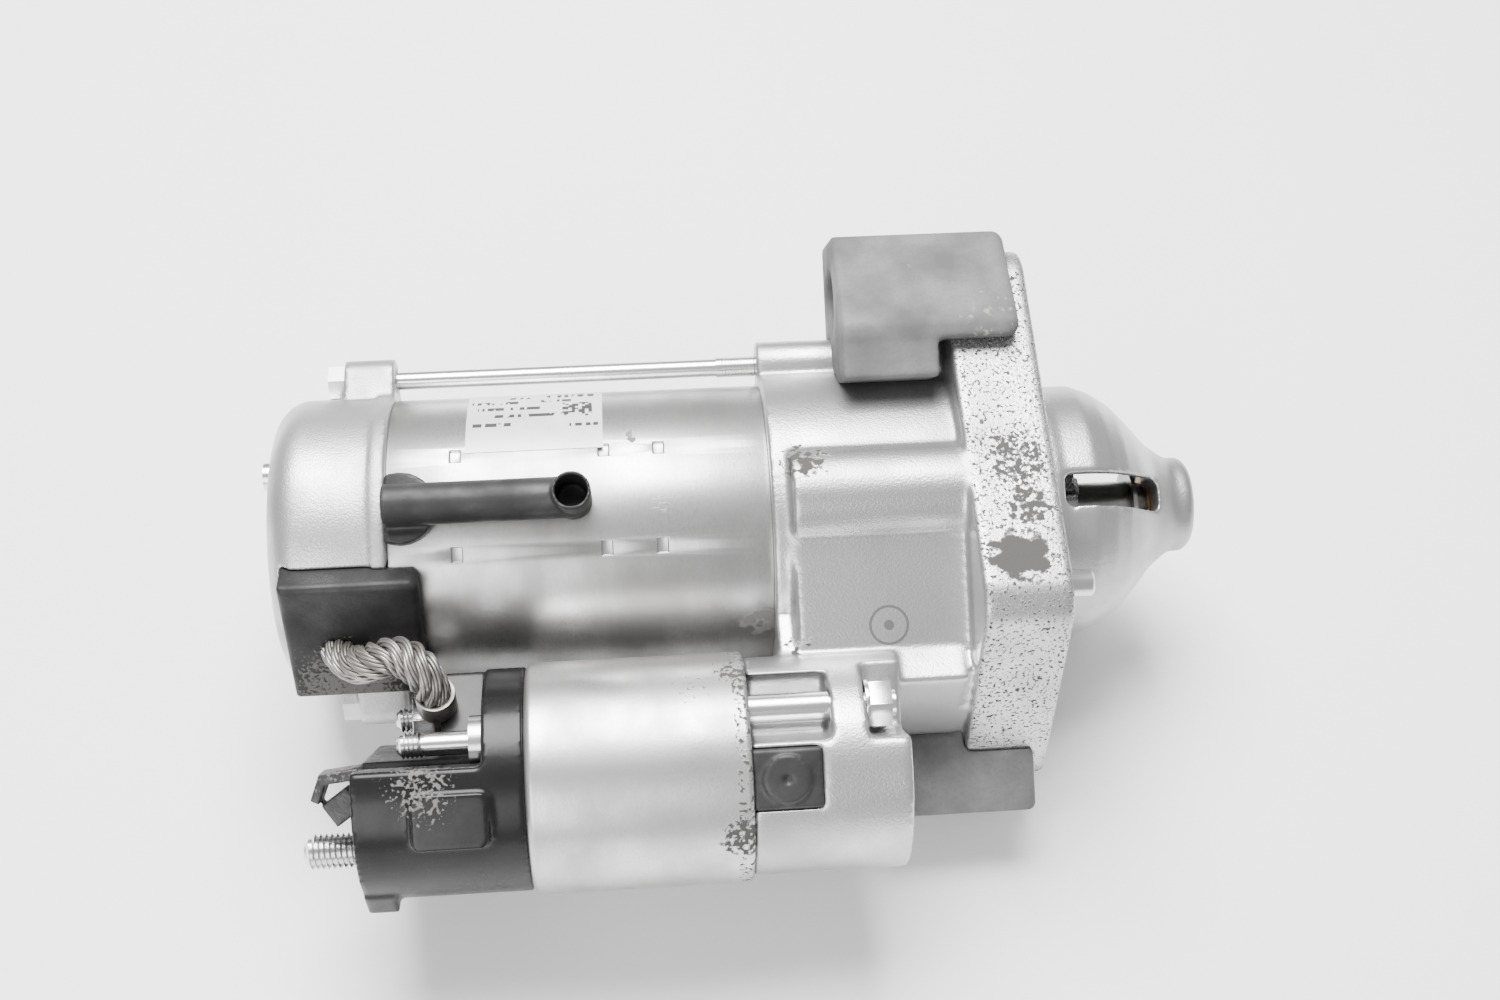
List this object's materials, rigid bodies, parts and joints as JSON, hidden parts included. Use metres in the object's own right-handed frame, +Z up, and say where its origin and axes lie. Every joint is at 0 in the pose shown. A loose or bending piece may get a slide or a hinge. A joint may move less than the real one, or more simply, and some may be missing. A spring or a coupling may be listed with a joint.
{
  "type": "starter motor",
  "caption": "Pre-engaged starter motor with planetary reduction, side solenoid, two-lug mounting flange, domed nose and a braided motor lead.",
  "frame": {"origin": "motor axis at the flange's mounting face, where the locating pilot starts", "axes": "+X along the motor axis out of the nose, +Z up, the solenoid lies in the -Y direction"},
  "size_m": [0.2286, 0.1546, 0.0979],
  "materials": {
    "cast_aluminium": "satin cast",
    "zinc_steel": "zinc plated",
    "grey_rubber": "matte",
    "black_rubber": "matte",
    "plated_steel": "bright plated",
    "label_film": "silver film",
    "black_moulding": "moulded",
    "tinned_copper": "dull tinned strands",
    "copper": "enamelled",
    "gear_steel": "oiled",
    "pressed_steel": "plain",
    "bearing_steel": "ground",
    "bronze": "sintered",
    "lamination": "stacked sheet",
    "ferrite": "ground",
    "carbon": "graphite"
  },
  "bodies": {
    "housing": {"drive_housing": "cast_aluminium", "rear_cover": "cast_aluminium", "yoke_tube": "zinc_steel", "solenoid_case": "zinc_steel", "upper_lug_cover": "grey_rubber", "lower_lug_cover": "grey_rubber", "drain_hose": "black_rubber", "lead_grommet": "black_rubber", "bracket_plug": "black_rubber", "through_bolts": "plated_steel", "solenoid_studs": "plated_steel", "solenoid_nuts": "plated_steel", "motor_nut": "plated_steel", "motor_stud": "plated_steel", "trigger_terminal": "plated_steel", "battery_stud": "plated_steel", "cover_screws": "plated_steel", "locating_dowel": "plated_steel", "rating_label": "label_film", "solenoid_cap": "black_moulding", "coil_bobbin": "black_moulding", "brush_holder": "black_moulding", "motor_lead": "tinned_copper", "lead_terminal": "tinned_copper", "solenoid_coil": "copper", "ring_gear": "gear_steel", "lever_pivot": "gear_steel", "centre_plate": "pressed_steel", "shaft_bearing_plate": "pressed_steel", "solenoid_core": "pressed_steel", "plunger_spring": "pressed_steel", "brush_springs": "pressed_steel", "armature_front_bearing": "bearing_steel", "armature_rear_bearing": "bearing_steel", "shaft_bearing": "bearing_steel", "nose_bush": "bronze", "field_magnets": "ferrite", "brushes": "carbon"},
    "armature": {"armature_shaft": "gear_steel", "armature_core": "lamination", "armature_windings": "copper", "commutator": "copper"},
    "output": {"output_shaft": "gear_steel", "planet_pins": "gear_steel", "pinion_stop_ring": "gear_steel"},
    "planet_1": {"planet_gear_1": "gear_steel"},
    "planet_2": {"planet_gear_2": "gear_steel"},
    "planet_3": {"planet_gear_3": "gear_steel"},
    "clutch": {"clutch_sleeve": "gear_steel", "clutch_shell": "pressed_steel", "clutch_rollers": "gear_steel"},
    "pinion": {"pinion": "gear_steel"},
    "lever": {"shift_lever": "pressed_steel"},
    "plunger": {"plunger": "pressed_steel"},
    "contact": {"contact_rod": "gear_steel", "contact_bridge": "copper"}
  },
  "joints": [
    {"name": "armature_spin", "type": "hinge", "parent": "housing", "child": "armature", "pos_m": [-0.11, 0, 0], "axis": [1, 0, 0], "continuous": true},
    {"name": "output_spin", "type": "hinge", "parent": "housing", "child": "output", "pos_m": [-0.03, 0, 0], "axis": [1, 0, 0], "continuous": true},
    {"name": "planet_1_spin", "type": "hinge", "parent": "output", "child": "planet_1", "pos_m": [-0.0575, 0.01688, 0], "axis": [1, 0, 0], "continuous": true},
    {"name": "planet_2_spin", "type": "hinge", "parent": "output", "child": "planet_2", "pos_m": [-0.0575, -0.00844, 0.01461], "axis": [1, 0, 0], "continuous": true},
    {"name": "planet_3_spin", "type": "hinge", "parent": "output", "child": "planet_3", "pos_m": [-0.0575, -0.00844, -0.01461], "axis": [1, 0, 0], "continuous": true},
    {"name": "plunger_slide", "type": "slide", "parent": "housing", "child": "plunger", "axis": [-1, 0, 0], "range_m": [0, 0.009], "stiffness_N_per_m": 1200, "springref_m": -0.01, "deforming": ["plunger_spring"]},
    {"name": "lever_swing", "type": "hinge", "parent": "housing", "child": "lever", "pos_m": [-0.042, -0.04, 0], "axis": [0, 0, -1], "range_deg": [0, 20.35]},
    {"name": "clutch_slide", "type": "slide", "parent": "output", "child": "clutch", "axis": [1, 0, 0], "range_m": [0, 0.01376]},
    {"name": "contact_slide", "type": "slide", "parent": "housing", "child": "contact", "axis": [-1, 0, 0], "range_m": [0, 0.0028]},
    {"name": "pinion_overrun", "type": "hinge", "parent": "clutch", "child": "pinion", "pos_m": [0.004, 0, 0], "axis": [1, 0, 0], "continuous": true}
  ],
  "couplings": [
    {"joint": "output_spin", "follows": "armature_spin", "ratio": 0.22222},
    {"joint": "planet_1_spin", "follows": "armature_spin", "ratio": -0.62222},
    {"joint": "planet_2_spin", "follows": "armature_spin", "ratio": -0.62222},
    {"joint": "planet_3_spin", "follows": "armature_spin", "ratio": -0.62222},
    {"joint": "lever_swing", "follows": "plunger_slide", "rad_per_m": 39.367},
    {"joint": "clutch_slide", "follows": "plunger_slide", "ratio": 1.5178},
    {"joint": "contact_slide", "follows": "plunger_slide", "ratio": 0.3}
  ]
}
